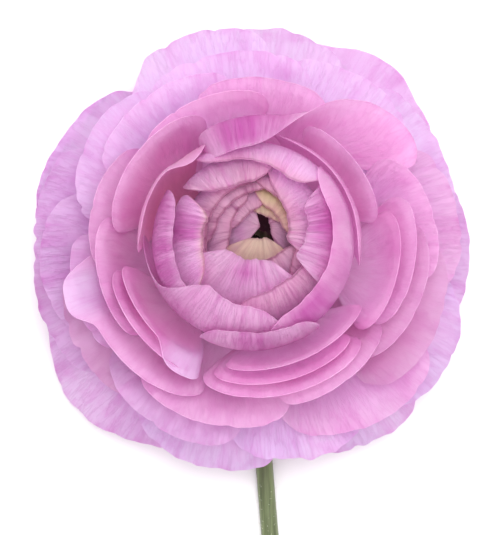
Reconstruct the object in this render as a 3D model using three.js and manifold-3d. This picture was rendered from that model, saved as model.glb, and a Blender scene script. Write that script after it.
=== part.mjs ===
// A ranunculus flower, as picked, lying on its back: the bloom faces up and the cut stem
// runs away along -Y on the surface. Millimetres, +Z up, z = 0 is the surface.
//
// Every petal lies on its own layer of one nest of shells. A shell is a curve from the
// receptacle out to a rim, turned about the head's axis. Layer 0 is the outermost shell,
// spread flat and bent back, layer 0.6 stands up as a cup, and layer 1 closes over the heart.

import * as THREE from 'three';
import { mergeVertices } from 'three/addons/utils/BufferGeometryUtils.js';
import Module from 'manifold-3d';

const wasm = await Module();
wasm.setup();

// Head
const HEAD_HEIGHT = 14.4; // underside of the receptacle above the surface
const HEAD_LEAN = THREE.MathUtils.degToRad(5); // the face tips this far towards +Y
const PETAL_THICKNESS = 0.6;
const EYE_OFFSET = { x: 2.1, y: 2.3 }; // the heart's eye lies this far off the axis
const EYE_START = 0.7; // from this layer inwards the shells shift to the eye

// Receptacle and stem, grown as one
const SEAT = 0.75; // its side stands this far in from the petals' claws
const SEATED_SHELLS = 9; // the shells whose petals it carries, from the outermost
const RECEPTACLE_TOP = [[3.9, 10.6], [0, 10.6]];
const RECEPTACLE_UNDERSIDE = [[0, -7], [2, -7], [2.3, -5], [3.2, -2.6], [4.6, -1.2], [7.5, -0.8]];
const STEM_RADIUS = 1.9;
const STEM_SIDES = 10;
const STEM_STEPS = 26;
const LIE = 1.75; // height of the lying stem's middle, so that its underside is pressed flat
const STEM_ROUTE = [
  [0, 0.1, 15.4], [0, -0.3, 11.2], [0, -1.6, 7.2], [0, -4.6, 4.1], [0.1, -8.8, 2.5],
  [0.4, -14, LIE + 0.1], [1, -22, LIE], [2.6, -45, LIE], [4.6, -70, LIE], [6.6, -100, LIE],
  [7.5, -135, LIE], [6.8, -165, LIE],
];

// Calyx, its sepals' middle line given as [radius, height] in the head
const SEPAL_COUNT = 5;
const SEPAL_START = 18; // degrees, the first sepal's direction
const SEPAL_LINE = [[5.5, -2.1], [9, -2.0], [14, -2.8], [19, -6.5]];
const SEPAL_HALF_WIDTH = 3.8;
const SEPAL_THICKNESS = 0.8;
const CALYX_RING = [[4.9, -2.6], [6.9, -2.6], [6.9, -1.6], [4.9, -1.6]];

// Heart: the ring that its petals grow from, and the cone of carpels inside it
const HEART_RING = [[4.4, 11.3], [5.1, 11.75], [3.9, 13.75], [3.3, 13.4]];
const CARPEL_CONE = [[0, 10.95], [2.6, 10.95], [2.5, 14], [2, 18], [1, 20.6], [0, 21.2]];
const HEAD_SEGMENTS = 16; // facets round the turned pieces

// Petal outline, in shares of its length and half width
const CLAW_WIDTH = 0.22;
const FULL_WIDTH_AT = 0.75;
const TWIST_FULL_AT = 0.5;
const CORNER = 0.2;
const SIDE_POWER = 2.6;
const CORNER_POWER = 10;
const DROOP_START = 0.5; // a drooping petal sags from here
const DROOP_REACH = 0.35; // and is fully down this much further out

// Shell profiles: the radius and height of a cubic curve's four control points,
// from the claw on the receptacle to the rim, height 0 at the receptacle's underside.
const PROFILES = [
  { layer: 0.00, points: [[9.6, 0.0], [24.0, 5.5], [41.0, 4.5], [47.5, -11.0]] },
  { layer: 0.10, points: [[9.3, 1.3], [24.0, 6.5], [39.0, 9.0], [46.5, 1.5]] },
  { layer: 0.20, points: [[9.0, 2.6], [23.5, 7.2], [36.5, 12.5], [42.0, 12.5]] },
  { layer: 0.30, points: [[8.5, 4.0], [23.0, 7.8], [34.0, 14.0], [37.0, 21.5]] },
  { layer: 0.40, points: [[8.0, 5.4], [22.2, 8.3], [31.5, 16.5], [32.5, 28.0]] },
  { layer: 0.50, points: [[7.4, 6.8], [21.2, 8.8], [29.0, 19.5], [27.5, 33.5]] },
  { layer: 0.57, points: [[6.9, 7.8], [20.5, 9.2], [27.2, 23.5], [23.5, 37.0]] },
  { layer: 0.63, points: [[6.4, 8.6], [19.5, 9.8], [31.5, 36.0], [5.0, 46.0]] },
  { layer: 0.72, points: [[5.9, 9.8], [18.0, 10.8], [27.5, 36.0], [4.5, 43.0]] },
  { layer: 0.86, points: [[4.8, 11.9], [13.0, 13.2], [19.5, 36.0], [3.0, 38.5]] },
  { layer: 1.00, points: [[3.7, 13.6], [6.5, 15.5], [9.0, 31.0], [1.6, 34.5]] },
];

// Petals. turn: the middle's direction in degrees, anticlockwise from +X. half: half its
// width in degrees. length: share of its shell. drop: how far the rim falls to the sides.
// skew: longer on one side. twist and bow: how the layer changes across the petal.
// droop: how far its outer part sags, in mm, to lie on the surface.
const OUTER_PETALS = [
  { layer: 0.000, turn: 3.5, half: 29.5, length: 0.93, drop: 0.22, skew: 0.02 },
  { layer: 0.049, turn: 31, half: 26, length: 0.94, drop: 0.15, skew: 0.06 },
  { layer: 0.000, turn: 58, half: 27, length: 1.08, drop: 0.10, droop: 5 },
  { layer: 0.046, turn: 87.5, half: 27, length: 1.05, drop: 0.11, skew: 0.06 },
  { layer: 0.094, turn: 110, half: 27, length: 1.06, drop: 0.30, skew: -0.12 },
  { layer: 0.000, turn: 148.5, half: 31, length: 1.05, drop: 0.30, skew: 0.04, droop: 4 },
  { layer: 0.045, turn: 171, half: 24, length: 0.96, drop: 0.16, skew: -0.06 },
  { layer: 0.085, turn: 196, half: 24, length: 0.96, drop: 0.14, skew: -0.02 },
  { layer: 0.000, turn: 227.5, half: 32.5, length: 0.99, drop: 0.23, skew: -0.07 },
  { layer: 0.050, turn: 259.5, half: 30.5, length: 0.93, drop: 0.25, skew: -0.02 },
  { layer: 0.094, turn: 284, half: 24, length: 0.89, drop: 0.13, skew: 0.06 },
  { layer: 0.000, turn: 304, half: 25, length: 0.94, drop: 0.22, skew: 0.03 },
  { layer: 0.054, turn: 331, half: 27, length: 1.00, drop: 0.35, skew: -0.05 },
];
const SPREAD_PETALS = [
  { layer: 0.120, turn: 10, half: 26, length: 0.90, drop: 0.18 },
  { layer: 0.155, turn: 62, half: 28, length: 0.91, drop: 0.18, skew: -0.06 },
  { layer: 0.195, turn: 98, half: 30, length: 0.92, drop: 0.14 },
  { layer: 0.274, turn: 124, half: 30, length: 0.92, drop: 0.15 },
  { layer: 0.215, turn: 147, half: 28, length: 0.94, drop: 0.25, skew: -0.12 },
  { layer: 0.135, turn: 184, half: 26.5, length: 0.94, drop: 0.30 },
  { layer: 0.176, turn: 212, half: 28.5, length: 0.90, drop: 0.15 },
  { layer: 0.216, turn: 239.5, half: 28.5, length: 1.00, drop: 0.25, skew: 0.12 },
  { layer: 0.284, turn: 255, half: 30, length: 0.94, drop: 0.17 },
  { layer: 0.149, turn: 303, half: 30, length: 0.95, drop: 0.25, skew: 0.20 },
  { layer: 0.211, turn: 337, half: 30, length: 0.98, drop: 0.25, skew: -0.02 },
  { layer: 0.290, turn: 12, half: 26, length: 0.96, drop: 0.25, skew: -0.08, twist: 0.030 },
];
const CUPPED_PETALS = [
  { layer: 0.286, turn: 196, half: 22, length: 0.94, drop: 0.12, skew: 0.02 },
  { layer: 0.345, turn: 218, half: 38, length: 0.98, drop: 0.25, skew: -0.06 },
  { layer: 0.321, turn: 340, half: 30.5, length: 0.93, drop: 0.24, skew: 0.09 },
  { layer: 0.365, turn: 86, half: 27, length: 0.91, drop: 0.12 },
  { layer: 0.375, turn: 306.5, half: 26.5, length: 0.91, drop: 0.13, skew: -0.12 },
  { layer: 0.401, turn: 352, half: 28, length: 1.00, drop: 0.24, skew: 0.09 },
  { layer: 0.382, turn: 163.5, half: 28.5, length: 0.90, drop: 0.22, skew: 0.03 },
  { layer: 0.428, turn: 283, half: 38.5, length: 0.92, drop: 0.22, skew: 0.05 },
  { layer: 0.426, turn: 193, half: 27, length: 0.96, drop: 0.19, skew: 0.04 },
  { layer: 0.436, turn: 112, half: 30, length: 0.90, drop: 0.15, skew: -0.05 },
  { layer: 0.465, turn: 348, half: 30, length: 0.97, drop: 0.32 },
  { layer: 0.473, turn: 218, half: 29.5, length: 0.95, drop: 0.18, skew: 0.01 },
  { layer: 0.487, turn: 285, half: 35, length: 0.90, drop: 0.20 },
  { layer: 0.480, turn: 146, half: 30, length: 0.92, drop: 0.18, skew: 0.02 },
  { layer: 0.528, turn: 219, half: 31, length: 0.92, drop: 0.16 },
  { layer: 0.520, turn: 37, half: 27, length: 0.92, drop: 0.18, skew: 0.06 },
  { layer: 0.548, turn: 294, half: 40, length: 0.90, drop: 0.20 },
  { layer: 0.526, turn: 73, half: 43, length: 0.97, drop: 0.00, skew: -0.13, twist: 0.225, bow: -0.115, columns: 12 },
];
const FOLDED_PETALS = [
  { layer: 0.585, turn: 152, half: 34, length: 0.86, drop: 0.04 },
  { layer: 0.585, turn: 28, half: 43, length: 0.87, drop: 0.04 },
  { layer: 0.604, turn: 210, half: 38, length: 0.85, drop: 0.04, skew: 0.06, twist: 0.065 },
  { layer: 0.601, turn: 275, half: 35, length: 0.86, drop: 0.04 },
  { layer: 0.636, turn: 343.5, half: 67.5, length: 0.81, drop: 0.02 },
  { layer: 0.696, turn: 190.5, half: 50, length: 0.82, drop: 0.02, skew: -0.01 },
  { layer: 0.687, turn: 87, half: 48.5, length: 0.83, drop: 0.03, skew: -0.05 },
  { layer: 0.692, turn: 2, half: 36.5, length: 0.90, drop: -0.03, skew: -0.03 },
  { layer: 0.762, turn: 186, half: 40, length: 0.89, drop: 0.03, skew: -0.03 },
  { layer: 0.751, turn: 300, half: 49.5, length: 0.87, drop: 0.06, skew: 0.01 },
  { layer: 0.738, turn: 107.5, half: 38, length: 0.89, drop: 0.10, skew: -0.01 },
  { layer: 0.800, turn: 256, half: 60, length: 0.97, drop: 0.02 },
  { layer: 0.801, turn: 28, half: 54, length: 0.93, drop: 0.04, skew: -0.05 },
];
const HEART_PETALS = [
  { layer: 0.866, turn: 60, half: 50, length: 0.93, drop: 0.05 },
  { layer: 0.874, turn: 300, half: 55, length: 0.93, drop: 0.03 },
  { layer: 0.882, turn: 130, half: 52, length: 0.94, drop: 0.03 },
  { layer: 0.900, turn: 345, half: 58, length: 0.96, drop: 0.04 },
  { layer: 0.910, turn: 95, half: 50, length: 0.95, drop: 0.05 },
  { layer: 0.930, turn: 262, half: 66, length: 0.97, drop: 0.05 },
  { layer: 0.945, turn: 165, half: 72, length: 1.02, drop: 0.05 },
  { layer: 0.970, turn: 40, half: 60, length: 0.99, drop: 0.05 },
  { layer: 0.990, turn: 330, half: 60, length: 1.00, drop: 0.05 },
];

// How finely each ring's petals are faceted, and how far their rims ripple
const RINGS = {
  outer: { petals: OUTER_PETALS, columns: 7, rows: 6, ripple: 0.8 },
  spread: { petals: SPREAD_PETALS, columns: 7, rows: 6, ripple: 0.5 },
  cupped: { petals: CUPPED_PETALS, columns: 6, rows: 7, ripple: 0.25 },
  folded: { petals: FOLDED_PETALS, columns: 6, rows: 9, ripple: 0 },
};
const HEART_FACETS = { columns: 5, rows: 7 };
const SEPAL_FACETS = { columns: 4, rows: 4 };
const RIPPLE_WAVES = 2.5;
const GOLDEN_TURN = 2.4; // radians from one petal's ripple to the next

const MATERIALS = {
  outer: new THREE.MeshStandardMaterial({ color: 0xe6b4e6, roughness: 0.6, metalness: 0 }),
  spread: new THREE.MeshStandardMaterial({ color: 0xe3a6dc, roughness: 0.6, metalness: 0 }),
  cupped: new THREE.MeshStandardMaterial({ color: 0xe094cd, roughness: 0.6, metalness: 0 }),
  folded: new THREE.MeshStandardMaterial({ color: 0xd672c0, roughness: 0.55, metalness: 0 }),
  heart: new THREE.MeshStandardMaterial({ color: 0xc9b98e, roughness: 0.6, metalness: 0 }),
  carpels: new THREE.MeshStandardMaterial({ color: 0x2a2a18, roughness: 0.7, metalness: 0 }),
  green: new THREE.MeshStandardMaterial({ color: 0x737d50, roughness: 0.65, metalness: 0 }),
};

const smooth = (x) => THREE.MathUtils.smoothstep(x, 0, 1);

// The four control points of the shell at a layer, between its two neighbours in PROFILES
function shellControls(layer) {
  const at = THREE.MathUtils.clamp(layer, 0, 1);
  let above = 1;
  while (above < PROFILES.length - 1 && PROFILES[above].layer < at) above += 1;
  const low = PROFILES[above - 1];
  const high = PROFILES[above];
  const share = (at - low.layer) / (high.layer - low.layer);
  return low.points.map(([radius, height], i) => [
    THREE.MathUtils.lerp(radius, high.points[i][0], share),
    THREE.MathUtils.lerp(height, high.points[i][1], share),
  ]);
}

// Radius and height of the shell at a share of its length, past its rim too
function shellPoint(layer, v) {
  const [a, b, c, d] = shellControls(layer);
  const w = 1 - v;
  const mix = (i) => a[i] * w ** 3 + 3 * b[i] * w * w * v + 3 * c[i] * w * v * v + d[i] * v ** 3;
  return { radius: mix(0), height: mix(1) };
}

// From the head's own frame, axis along Z, to the flower as it lies
function fromHead(point) {
  return point.applyAxisAngle(new THREE.Vector3(1, 0, 0), -HEAD_LEAN)
    .add(new THREE.Vector3(0, 0, HEAD_HEIGHT));
}

// Middle surface of a petal: u runs across it from -1 to 1, q from the claw (0) to the rim (1)
function petalPoint(petal, u, q) {
  const { layer, turn, half, length, drop, skew = 0, twist = 0, bow = 0 } = petal;
  const { droop = 0, ripple = 0, phase = 0 } = petal;
  const side = Math.abs(u);
  const rim = length * (1 - drop * side ** SIDE_POWER - CORNER * side ** CORNER_POWER) + skew * u;
  const v = q * rim;
  const width = CLAW_WIDTH + (1 - CLAW_WIDTH) * smooth(v / FULL_WIDTH_AT);
  const angle = THREE.MathUtils.degToRad(turn + half * u * width);
  const own = layer + (twist * u + bow * u * u) * smooth(v / TWIST_FULL_AT);
  const { radius, height } = shellPoint(own, v);
  const wave = ripple * q ** 3 * Math.sin(RIPPLE_WAVES * Math.PI * u + phase);
  const sag = droop * smooth((v - DROOP_START) / DROOP_REACH);
  const shift = smooth((own - EYE_START) / (1 - EYE_START)) * Math.min(v, 1);
  return fromHead(new THREE.Vector3(
    radius * Math.cos(angle) + EYE_OFFSET.x * shift,
    radius * Math.sin(angle) + EYE_OFFSET.y * shift,
    height + wave - sag,
  ));
}

// A closed blade of even thickness about a surface(u, q), with the same triangles on both
// faces. What would reach below the surface that the flower lies on is pressed flat on it.
function bladeGeometry(surface, columns, rows, thickness) {
  const step = 0.01;
  const faces = [[], []];
  for (let j = 0; j <= rows; j += 1) {
    for (let i = 0; i <= columns; i += 1) {
      const u = -1 + (2 * i) / columns;
      const q = j / rows;
      const across = surface(u + step, q).sub(surface(u - step, q));
      const along = surface(u, q + step).sub(surface(u, q - step));
      const normal = across.cross(along).normalize();
      const middle = surface(u, q);
      [1, -1].forEach((sign, face) => {
        const point = middle.clone().addScaledVector(normal, (sign * thickness) / 2);
        const floor = sign * normal.z > 0 ? thickness : 0;
        point.z = Math.max(point.z, floor);
        faces[face].push(point);
      });
    }
  }
  const count = (rows + 1) * (columns + 1);
  const at = (i, j) => j * (columns + 1) + i;
  const index = [];
  for (let j = 0; j < rows; j += 1) {
    for (let i = 0; i < columns; i += 1) {
      const [a, b, c, d] = [at(i, j), at(i + 1, j), at(i + 1, j + 1), at(i, j + 1)];
      index.push(a, b, c, a, c, d);
      index.push(count + a, count + c, count + b, count + a, count + d, count + c);
    }
  }
  const wall = (a, b) => index.push(a, count + a, count + b, a, count + b, b);
  for (let i = 0; i < columns; i += 1) {
    wall(at(i, 0), at(i + 1, 0));
    wall(at(i + 1, rows), at(i, rows));
  }
  for (let j = 0; j < rows; j += 1) {
    wall(at(0, j + 1), at(0, j));
    wall(at(columns, j), at(columns, j + 1));
  }
  const geometry = new THREE.BufferGeometry();
  const points = [...faces[0], ...faces[1]];
  geometry.setAttribute('position', new THREE.Float32BufferAttribute(points.flatMap((p) => p.toArray()), 3));
  geometry.setIndex(index);
  return geometry;
}

function solidOf(geometry) {
  const bare = geometry.clone();
  bare.deleteAttribute('normal');
  bare.deleteAttribute('uv');
  const merged = mergeVertices(bare, 1e-4);
  return new wasm.Manifold(new wasm.Mesh({
    numProp: 3,
    vertProperties: new Float32Array(merged.attributes.position.array),
    triVerts: new Uint32Array(merged.index.array),
  }));
}

function geometryOf(solid) {
  const mesh = solid.getMesh();
  const geometry = new THREE.BufferGeometry();
  geometry.setAttribute('position', new THREE.BufferAttribute(new Float32Array(mesh.vertProperties), 3));
  geometry.setIndex(new THREE.BufferAttribute(new Uint32Array(mesh.triVerts), 1));
  return geometry;
}

// Joins solids that overlap into one body, and fills any hollow that the joining seals
function fused(geometries) {
  const whole = geometries.map(solidOf).reduce((sum, solid) => sum.add(solid));
  return geometryOf(whole.decompose().reduce((a, b) => (a.volume() > b.volume() ? a : b)));
}

// A profile of [radius, height] turned about the head's axis
function turned(profile, segments) {
  const geometry = new THREE.LatheGeometry(profile.map(([x, y]) => new THREE.Vector2(x, y)), segments);
  geometry.rotateX(Math.PI / 2);
  return geometry;
}

function inHead(geometry) {
  return geometry.rotateX(-HEAD_LEAN).translate(0, 0, HEAD_HEIGHT);
}

const flower = new THREE.Group();

function addPiece(name, geometry, material) {
  const piece = new THREE.Mesh(geometry, material);
  piece.name = name;
  flower.add(piece);
}

function petalBlade(petal, columns, rows) {
  return bladeGeometry((u, q) => petalPoint(petal, u, q), columns, rows, PETAL_THICKNESS);
}

function addPetals() {
  for (const [ring, { petals, columns, rows, ripple }] of Object.entries(RINGS)) {
    petals.forEach((petal, i) => {
      const shape = { ...petal, ripple, phase: GOLDEN_TURN * i };
      const name = `${ring}_petal_${String(i + 1).padStart(2, '0')}`;
      addPiece(name, petalBlade(shape, petal.columns ?? columns, rows), MATERIALS[ring]);
    });
  }
}

// The innermost petals, grown together at their claws
function addHeart() {
  const { columns, rows } = HEART_FACETS;
  const petals = HEART_PETALS.map((petal) => petalBlade(petal, columns, rows));
  const ring = inHead(turned([...HEART_RING, HEART_RING[0]], HEAD_SEGMENTS));
  addPiece('heart', fused([ring, ...petals]), MATERIALS.heart);
}

function addCarpels() {
  addPiece('carpels', inHead(turned(CARPEL_CONE, HEAD_SEGMENTS)), MATERIALS.carpels);
}

// The receptacle, and the stem that bends from under it down to the surface
function addStem() {
  const side = PROFILES.slice(0, SEATED_SHELLS).map(({ points: [[radius, height]] }) => [radius - SEAT, height]);
  const receptacle = inHead(turned([...RECEPTACLE_UNDERSIDE, ...side, ...RECEPTACLE_TOP], HEAD_SEGMENTS));
  const route = new THREE.CatmullRomCurve3(STEM_ROUTE.map((point) => new THREE.Vector3(...point)));
  const section = new THREE.Shape();
  section.absarc(0, 0, STEM_RADIUS, 0, Math.PI * 2);
  const stem = new THREE.ExtrudeGeometry(section, {
    steps: STEM_STEPS,
    curveSegments: STEM_SIDES / 2,
    extrudePath: route,
  });
  const { position } = stem.attributes;
  for (let i = 0; i < position.count; i += 1) position.setZ(i, Math.max(position.getZ(i), 0));
  addPiece('stem', fused([receptacle, stem]), MATERIALS.green);
}

// Middle surface of a sepal: across it from -1 to 1, q from its foot (0) to its tip (1)
function sepalPoint(turn, u, q) {
  const line = new THREE.CubicBezierCurve(...SEPAL_LINE.map(([x, y]) => new THREE.Vector2(x, y)));
  const { x: radius, y: height } = line.getPoint(q);
  const half = SEPAL_HALF_WIDTH * (0.45 + 0.55 * Math.sin(Math.PI * q));
  const point = new THREE.Vector3(radius, half * u, height);
  return fromHead(point.applyAxisAngle(new THREE.Vector3(0, 0, 1), turn));
}

function addCalyx() {
  const { columns, rows } = SEPAL_FACETS;
  const ring = inHead(turned([...CALYX_RING, CALYX_RING[0]], HEAD_SEGMENTS));
  const sepals = Array.from({ length: SEPAL_COUNT }, (_, i) => {
    const turn = THREE.MathUtils.degToRad(SEPAL_START + (360 / SEPAL_COUNT) * i);
    return bladeGeometry((u, q) => sepalPoint(turn, u, q), columns, rows, SEPAL_THICKNESS);
  });
  addPiece('calyx', fused([ring, ...sepals]), MATERIALS.green);
}

addPetals();
addHeart();
addCarpels();
addStem();
addCalyx();

// The origin lies under the middle of the whole flower, on the surface
const bounds = new THREE.Box3().setFromObject(flower);
const middle = bounds.getCenter(new THREE.Vector3());
flower.position.set(-middle.x, -middle.y, -bounds.min.z);

export default flower;
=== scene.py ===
"""A cut ranunculus lying face up on a pale floor, with its stem bent down under the bloom.

Every petal is a grid bent onto its own layer of one nest of shells, as its CAD solid is. It
gets a ragged, waving rim, a thin blade, and a colour that changes from its claw to its rim.
"""

import math
from typing import NamedTuple

import bpy
import numpy as np
from bpy.props import FloatProperty, FloatVectorProperty, IntProperty, PointerProperty
from bpy.types import Operator, Panel, PropertyGroup
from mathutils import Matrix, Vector


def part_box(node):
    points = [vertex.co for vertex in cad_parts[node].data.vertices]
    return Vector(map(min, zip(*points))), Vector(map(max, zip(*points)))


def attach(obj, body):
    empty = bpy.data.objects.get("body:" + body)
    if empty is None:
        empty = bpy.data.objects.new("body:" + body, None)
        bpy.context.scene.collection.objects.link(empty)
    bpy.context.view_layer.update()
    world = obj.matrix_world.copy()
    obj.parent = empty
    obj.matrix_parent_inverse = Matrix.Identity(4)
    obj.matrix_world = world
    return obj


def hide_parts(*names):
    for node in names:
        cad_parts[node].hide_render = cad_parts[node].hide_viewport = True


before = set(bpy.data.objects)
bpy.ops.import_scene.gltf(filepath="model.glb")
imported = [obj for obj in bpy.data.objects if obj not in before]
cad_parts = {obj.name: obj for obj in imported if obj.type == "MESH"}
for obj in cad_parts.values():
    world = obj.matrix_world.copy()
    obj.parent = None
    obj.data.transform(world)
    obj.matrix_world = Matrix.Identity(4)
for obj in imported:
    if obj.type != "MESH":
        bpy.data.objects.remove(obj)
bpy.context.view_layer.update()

bl_info = {
    "name": "Ranunculus flower",
    "version": (1, 0, 0),
    "blender": (4, 5, 0),
    "location": "View3D > Sidebar > Ranunculus",
    "description": "Builds a cut ranunculus, lying face up, round its CAD frame",
    "category": "Add Mesh",
}

MM = 0.001

# The head: its axis leans towards +Y, and its foot is the underside of the receptacle
LEAN = math.radians(5)
HEAD_HEIGHT = 14.4  # mm over the surface
EYE_OFFSET = (2.1, 2.3)  # mm from the axis to the middle of the innermost shells
EYE_START = 0.7  # from this layer inwards the shells shift to the eye
CARPEL_RADIUS = 2.6  # mm, at the foot of the cone
CARPEL_FOOT = 10.95  # mm over the head's foot
CARPEL_TOP = 21.2
CARPEL_COUNT = 90
CORE_WIDTH = 0.86  # the core that the carpels sit on, as a share of the CAD cone
CORE_HEIGHT = 0.96
CARPEL_GRAIN = 0.34  # mm, a carpel's radius
CARPEL_SHAPE = (1, 1, 1.5)  # taller than it is wide
CARPEL_REACH = 0.94  # of the cone's height
CARPEL_LIFT = 0.3  # mm that the lowest carpels stand over its foot

# A petal's outline, in shares of its length and half width
CLAW_WIDTH = 0.22
FULL_WIDTH_AT = 0.75
TWIST_FULL_AT = 0.5
CORNER = 0.2
SIDE_POWER = 2.6
CORNER_POWER = 10
DROOP_START = 0.5
DROOP_REACH = 0.35
STEP_WIDTH = 0.07
NICK_WIDTH = 0.035
NICK_POWER = 1.5
TEAR_WAVES = (5, 11, 23, 41)  # radians across half a petal
TEAR_SHARE = 0.5
CRINKLE_WAVES = (9, 17, 29)
CURL_START = 0.84
CURL_FALL = 0.5  # mm down for each mm that a rim curls outwards
FOLD_START = 0.78
THIN_FROM = 0.7  # from here the blade thins out to its rim
THIN_OVER = 0.3
SHARP_ANGLE = math.radians(60)  # edges below this are shaded smooth
RIPPLE_WAVES = 2.5
GOLDEN_TURN = 2.4  # radians from one petal's ripple to the next

# Where a petal's colour changes, in shares of its length, and how far it does
TINT_RISE = 0.5
RIM_POWER = 1.4
RIM_SHARE = 0.85  # of the rim's own colour at the very rim
PALE_FROM = 0.66
PALE_RISE = 0.2
PALE_SHARE = 0.95  # of white lilac on a rim that is folded outwards
FLUSH_RISE = 0.2
FLUSH_FADE_FROM = 0.95
FLUSH_FADE_OVER = 0.05
CLAW_GLOW_PAINT = 0.12  # of a petal's colour, at its claw: a painted glow, emitted, for light scattered deep into the bloom
GLOW_PAINT_STRENGTH = 0.4  # strength of that painted glow, kept under 0.5, or the petals are sampled as lamps and render slowly

# A petal's tissue: how often each pattern changes across and along it, and its colours
VEIN_GRAIN = (46, 4.5)
VEIN_WIDTH = 0.06
STREAK_GRAIN = (13, 1.6)
CREASE_GRAIN = (7, 2.2)
BLOTCH_SCALE = 85
SEED_STEP = 1.7  # from one petal's pattern to the next
SEED_LAYER = 31
PETAL_RELIEF = 0.3  # mm
HEART_RELIEF = 0.1
FLUSHED_SHEER = 0.45  # how much less light passes where it is flushed
OUTER_VEINS = (228, 142, 214)
OUTER_GLOW = (250, 214, 242)
HEART_VEINS = (150, 84, 140)
HEART_GLOW = (240, 204, 226)
HEART_SOLID_TO = 0.7  # from this share of its length a heart petal lets its full light through
SOLID_FADE = 0.3  # and this much nearer its claw, none
PALE_PATCH = (240, 220, 246)
DARK_PATCH = (238, 186, 228)
# Painted shade: the thin dark line along a rim stands for the shadowed gap under it
RIM_SHADE_PAINT = (150, 100, 120)

# The stem's middle line, in mm: x and y from the head's foot, z over the floor. The
# receptacle's outline is given as radius and height in the head
STEM_LIE = 1.9
STEM_ROUTE = (
    (0, 0.1, 15.4), (0, -0.3, 11.2), (0, -1.6, 7.2), (0, -4.6, 4.1), (0.1, -8.8, 2.5),
    (0.4, -14, 2.0), (1, -22, STEM_LIE), (2.6, -45, STEM_LIE), (4.6, -70, STEM_LIE),
    (6.6, -100, STEM_LIE), (7.5, -135, STEM_LIE), (6.8, -165, STEM_LIE),
)
RECEPTACLE = (
    (2.2, -5), (3.2, -2.6), (4.6, -1.2), (7.5, -0.8), (8.85, 0), (8.55, 1.3), (8.25, 2.6),
    (7.75, 4), (7.25, 5.4), (6.65, 6.8), (6.15, 7.8), (5.65, 8.6), (5.15, 9.8), (3.9, 10.6),
)
STEM_VOXEL = 0.4  # mm
STEM_STREAKS = (900, 45, 900)
DARK_STREAK = 0.55  # of the skin's own colour
LIGHT_STREAK = 1.5
HAIRS_FROM = 5  # the point of the route from which the stem is hairy
HAIR_RADIUS = 0.045  # mm, at its root
HAIR_ROOT = 0.92  # of the stem's radius
HAIR_BELOW = 0.35  # radians below the stem's middle to which hairs stand

# The sepals: directions, a middle line given as radius and height, in mm, and size
SEPAL_TURNS = (18, 90, 162, 234, 306)
SEPAL_LINE = ((4.6, -2.0), (9, -1.9), (14, -2.8), (19, -6.5))
SEPAL_HALF_WIDTH = 3.8
SEPAL_THICKNESS = 0.4
SEPAL_RIM_SHARE = 0.5
SEPAL_ARCH = 0.35  # mm that its middle stands over its sides
SEPAL_STREAKS = (260, 260, 260)

# The stage: the camera is fitted to the bloom's place and size in the photo
PHOTO_SIZE = (478, 535)
PHOTO_FOOT = (252, 246)  # the pixel that the camera's own axis passes through
NEAR_MM = 775
PIXELS_PER_MM = 4.83  # at NEAR_MM from the camera
CAMERA_AHEAD = 1.5  # mm from the head's foot towards +Y
SENSOR_WIDTH = 36
FLOOR_SIZE = 6
KEY_PLACE = (0.12, 0.3, 1.35)  # metres from the middle of the bloom
KEY_SIZE = 0.8
BLOOM_MIDDLE = 0.03  # metres over the floor

# The shells: radius and height, in mm, of the four control points of each one's profile
SHELL_LAYERS = (0.0, 0.10, 0.20, 0.30, 0.40, 0.50, 0.57, 0.63, 0.72, 0.86, 1.0)
SHELL_POINTS = (
    ((9.6, 0.0), (24.0, 5.5), (41.0, 4.5), (47.5, -11.0)),
    ((9.3, 1.3), (24.0, 6.5), (39.0, 9.0), (46.5, 1.5)),
    ((9.0, 2.6), (23.5, 7.2), (36.5, 12.5), (42.0, 12.5)),
    ((8.5, 4.0), (23.0, 7.8), (34.0, 14.0), (37.0, 21.5)),
    ((8.0, 5.4), (22.2, 8.3), (31.5, 16.5), (32.5, 28.0)),
    ((7.4, 6.8), (21.2, 8.8), (29.0, 19.5), (27.5, 33.5)),
    ((6.9, 7.8), (20.5, 9.2), (27.2, 23.5), (23.5, 37.0)),
    ((6.4, 8.6), (19.5, 9.8), (31.5, 36.0), (5.0, 46.0)),
    ((5.9, 9.8), (18.0, 10.8), (27.5, 36.0), (4.5, 43.0)),
    ((4.8, 11.9), (13.0, 13.2), (19.5, 36.0), (3.0, 38.5)),
    ((3.7, 13.6), (6.5, 15.5), (9.0, 31.0), (1.6, 34.5)),
)
SHELL_LENGTH = 48.0  # mm, about how long a shell's profile is


class Look(NamedTuple):
    """A petal's colours by name, and how strongly it is veined.

    rim_from is where the rim's colour starts, edge how dark the thin line of painted shade
    along it is, for the shadowed gap under the rim.
    """

    deep: str
    body: str
    rim: str
    veins: float = 0.5
    rim_from: float = 0.6
    edge: float = 0.0


class Petal(NamedTuple):
    """Where a petal lies and how it is cut. turn and half are degrees, lengths are shares.

    lobe moves one side to layers further in, from lobe_at across it, within about lobe_rise:
    the other side where that is below 0. step makes one side longer, from step_at on. fold
    turns the rim outwards by so many mm round fold_at, over fold_wide, or inwards where it is
    below 0. flush is how strongly the petal is stained with magenta round flush_at, over
    flush_wide, from flush_from along it. shade is how bright its colour is, and lit how
    strongly it glows beyond its claw, a painted glow for light scattered into the bloom.
    """

    layer: float
    turn: float
    half: float
    length: float
    drop: float
    skew: float = 0.0
    twist: float = 0.0
    droop: float = 0.0
    lobe: float = 0.0
    lobe_at: float = 0.0
    lobe_rise: float = 0.12
    step: float = 0.0
    step_at: float = 0.0
    fold: float = 0.0
    fold_at: float = 0.0
    fold_wide: float = 0.3
    flush: float = 0.0
    flush_at: float = 0.0
    flush_wide: float = 0.4
    flush_from: float = 0.5
    painted_glow: float = 0.0
    shade: float = 1.0
    look: str = "lilac"


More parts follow.
